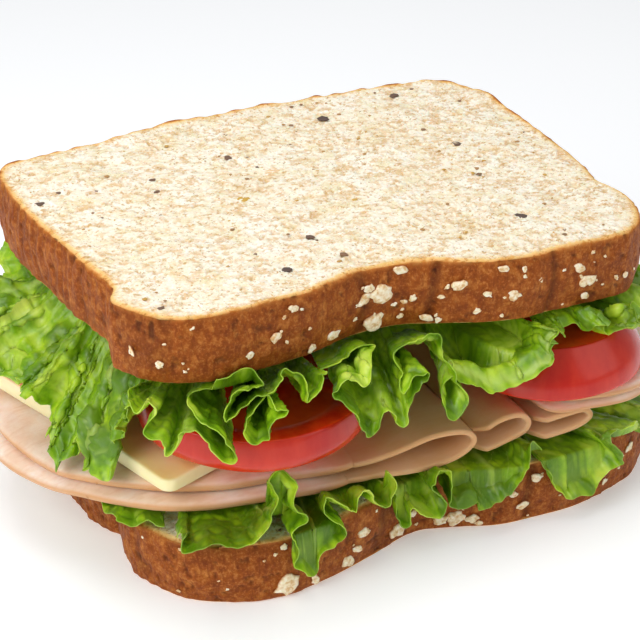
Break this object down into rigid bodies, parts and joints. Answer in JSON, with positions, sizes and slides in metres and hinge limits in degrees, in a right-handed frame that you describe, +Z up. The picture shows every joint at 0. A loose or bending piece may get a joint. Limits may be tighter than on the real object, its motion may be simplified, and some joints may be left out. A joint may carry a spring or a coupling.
{
  "type": "sandwich",
  "caption": "Closed sandwich of wholegrain bread with folded sliced turkey, pale cheese, tomato rings and curly lettuce above and below.",
  "frame": {"origin": "middle of the lower slice's flat underside, which rests on the table", "axes": "+X along the crown of the bread, which faces -Y; +Z up through the layers"},
  "size_m": [0.1541, 0.11, 0.0763],
  "materials": {
    "bread": "baked crust, golden brown, with a cream open crumb",
    "lettuce": "moist, softly glossy leaf, paler at its margin",
    "tomato": "wet cut flesh and smooth skin",
    "turkey": "moist cooked slice, tan at its edge",
    "cheese": "smooth satin"
  },
  "bodies": {
    "root": {"bread_lower": "bread", "bread_upper": "bread", "lettuce_lower_back": "lettuce", "lettuce_lower_front_left": "lettuce", "lettuce_lower_front_right": "lettuce", "lettuce_lower_left": "lettuce", "lettuce_lower_right": "lettuce", "lettuce_upper_back": "lettuce", "lettuce_upper_front_left": "lettuce", "lettuce_upper_front_right": "lettuce", "lettuce_upper_left": "lettuce", "lettuce_upper_right": "lettuce", "tomato_back_left": "tomato", "tomato_back_right": "tomato", "tomato_front_left": "tomato", "tomato_front_right": "tomato", "turkey_fold_left": "turkey", "turkey_fold_middle": "turkey", "turkey_fold_right": "turkey", "turkey_lower": "turkey", "turkey_right": "turkey", "turkey_topmost": "turkey", "turkey_upper": "turkey", "cheese": "cheese"}
  },
  "joints": []
}
